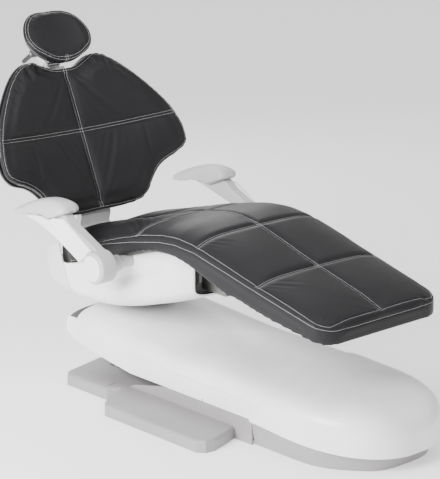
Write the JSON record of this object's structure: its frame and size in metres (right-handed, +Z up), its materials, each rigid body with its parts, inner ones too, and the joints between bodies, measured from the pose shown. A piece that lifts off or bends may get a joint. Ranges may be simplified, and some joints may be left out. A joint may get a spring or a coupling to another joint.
{
  "type": "dental chair",
  "caption": "Dental treatment chair with a cantilever lift arm, swivelling seat, reclining winged back, tilting headrest and swing-down armrests.",
  "frame": {"origin": "centre of the four floor anchor holes, on the floor", "axes": "+Z up, patient faces -Y, the patient's left is +X"},
  "size_m": [0.728, 1.6509, 1.0542],
  "materials": {
    "upholstery": "charcoal sewn vinyl, soft satin sheen",
    "white_cover": "smooth white moulded plastic, soft gloss",
    "pale_cover": "pale grey-white moulded plastic, satin",
    "base_grey": "warm grey moulded plastic, satin",
    "armrest_grey": "light grey soft-touch plastic",
    "shell_black": "black moulded plastic",
    "light_paint": "light grey powder coat",
    "dark_paint": "dark olive-grey powder coat",
    "bright_steel": "ground steel",
    "bronze": "sintered bronze",
    "cast_aluminium": "bead-blasted casting",
    "tank_plastic": "natural polyethylene"
  },
  "bodies": {
    "base": {"base_plate": "dark_paint", "base_shroud": "base_grey", "shroud_screw_caps": "base_grey", "toe_band": "base_grey", "toe_cover": "white_cover", "pivot_bracket": "dark_paint", "lift_pivot_shaft": "bright_steel", "base_pins": "bright_steel", "pump_tray": "dark_paint", "pump_motor": "shell_black", "hydraulic_pump": "cast_aluminium", "oil_reservoir": "tank_plastic", "control_box": "shell_black", "power_supply": "cast_aluminium"},
    "lift_arm": {"lift_arm": "dark_paint", "lift_pivot_bushes": "bronze", "arm_pins": "bright_steel", "arm_front_cover": "white_cover", "arm_rear_cover": "white_cover", "arm_rear_cap": "white_cover"},
    "stop_plate": {"stop_plate": "base_grey"},
    "level_links": {"level_links": "dark_paint"},
    "lift_barrel": {"lift_cylinder_barrel": "dark_paint"},
    "lift_rod": {"lift_cylinder_rod": "bright_steel"},
    "level_block": {"level_block": "dark_paint", "level_pin": "bright_steel", "swivel_bearing": "bright_steel"},
    "swivel": {"swivel_carriage": "dark_paint", "tilt_shaft": "bright_steel"},
    "seat": {"seat_frame": "dark_paint", "recline_pins": "bright_steel", "bowl_shroud": "white_cover", "rear_cover": "pale_cover", "leg_bracket": "dark_paint", "seat_pan": "dark_paint", "seat_cushion": "upholstery", "recline_cylinder_barrel": "dark_paint", "armrest_axle_right": "bright_steel", "armrest_axle_left": "bright_steel"},
    "recline_rod": {"recline_cylinder_rod": "bright_steel"},
    "back": {"back_arm": "light_paint", "back_cylinder_pin": "bright_steel", "back_shell": "shell_black", "back_cushion": "upholstery", "headrest_guide": "light_paint"},
    "glide": {"headrest_glide_bar": "bright_steel"},
    "headrest_link": {"headrest_link": "light_paint", "headrest_pins": "bright_steel"},
    "headrest": {"headrest_bracket": "light_paint", "headrest_shell": "shell_black", "headrest_cushion": "upholstery"},
    "lock_lever": {"headrest_lock_lever": "shell_black"},
    "armrest_right": {"armrest_arm_right": "armrest_grey", "armrest_panel_right": "white_cover", "armrest_hub_cap_right": "white_cover", "armrest_pad_right": "armrest_grey"},
    "armrest_left": {"armrest_arm_left": "armrest_grey", "armrest_panel_left": "white_cover", "armrest_hub_cap_left": "white_cover", "armrest_pad_left": "armrest_grey"}
  },
  "joints": [
    {"name": "lift", "type": "hinge", "parent": "base", "child": "lift_arm", "pos_m": [0, -0.385, 0.11], "axis": [1, 0, 0], "range_deg": [-4, 36]},
    {"name": "level_links_turn", "type": "hinge", "parent": "base", "child": "level_links", "pos_m": [0, -0.385, 0.06], "axis": [1, 0, 0], "range_deg": [-4, 36]},
    {"name": "level_block_turn", "type": "hinge", "parent": "lift_arm", "child": "level_block", "pos_m": [0, 0.3, 0.158], "axis": [1, 0, 0], "range_deg": [-36, 4]},
    {"name": "lift_barrel_turn", "type": "hinge", "parent": "base", "child": "lift_barrel", "pos_m": [0, -0.355, 0.04], "axis": [1, 0, 0], "range_deg": [-4.2, 35.2]},
    {"name": "lift_rod_slide", "type": "slide", "parent": "lift_barrel", "child": "lift_rod", "axis": [0, 0.9607, 0.2775], "range_m": [-0.0055, 0.047]},
    {"name": "stop_plate_press", "type": "slide", "parent": "lift_arm", "child": "stop_plate", "axis": [0, 0, 1], "range_m": [-0.002, 0.006], "stiffness_N_per_m": 3000, "springref_m": 0.0008},
    {"name": "swivel_turn", "type": "hinge", "parent": "level_block", "child": "swivel", "pos_m": [0, 0.26, 0.243], "axis": [0, 0, 1], "range_deg": [-30, 30]},
    {"name": "seat_tilt", "type": "hinge", "parent": "swivel", "child": "seat", "pos_m": [0, 0.3, 0.285], "axis": [-1, 0, 0], "range_deg": [-1.2, 7.4]},
    {"name": "recline", "type": "hinge", "parent": "seat", "child": "back", "pos_m": [0, 0.4, 0.395], "axis": [-1, 0, 0], "range_deg": [-8, 52]},
    {"name": "recline_rod_slide", "type": "slide", "parent": "seat", "child": "recline_rod", "axis": [0, 1, 0.0029], "range_m": [-0.0445, 0.0072]},
    {"name": "headrest_glide", "type": "slide", "parent": "back", "child": "glide", "axis": [0, 0.3971, 0.9178], "range_m": [-0.003, 0.127]},
    {"name": "headrest_lower_tilt", "type": "hinge", "parent": "glide", "child": "headrest_link", "pos_m": [0, 0.697, 0.88], "axis": [1, 0, 0], "range_deg": [-20, 2]},
    {"name": "headrest_upper_tilt", "type": "hinge", "parent": "headrest_link", "child": "headrest", "pos_m": [0, 0.741, 0.912], "axis": [1, 0, 0], "range_deg": [-35, 1.5]},
    {"name": "lock_lever_turn", "type": "hinge", "parent": "headrest_link", "child": "lock_lever", "pos_m": [0, 0.741, 0.912], "axis": [1, 0, 0], "range_deg": [-25, 2]},
    {"name": "armrest_right_swing", "type": "hinge", "parent": "seat", "child": "armrest_right", "pos_m": [-0.32, 0.08, 0.42], "axis": [1, 0, 0], "range_deg": [-60, 0]},
    {"name": "armrest_left_swing", "type": "hinge", "parent": "seat", "child": "armrest_left", "pos_m": [0.32, 0.08, 0.42], "axis": [1, 0, 0], "range_deg": [-60, 0]}
  ],
  "couplings": [
    {"joint": "level_links_turn", "follows": "lift", "ratio": 1},
    {"joint": "level_block_turn", "follows": "lift", "ratio": -1},
    {"joint": "lift_barrel_turn", "follows": "lift", "ratio": 0.968},
    {"joint": "lift_rod_slide", "follows": "lift", "m_per_rad": 0.0738},
    {"joint": "seat_tilt", "follows": "recline", "ratio": 0.14},
    {"joint": "recline_rod_slide", "follows": "recline", "m_per_rad": -0.0481}
  ]
}
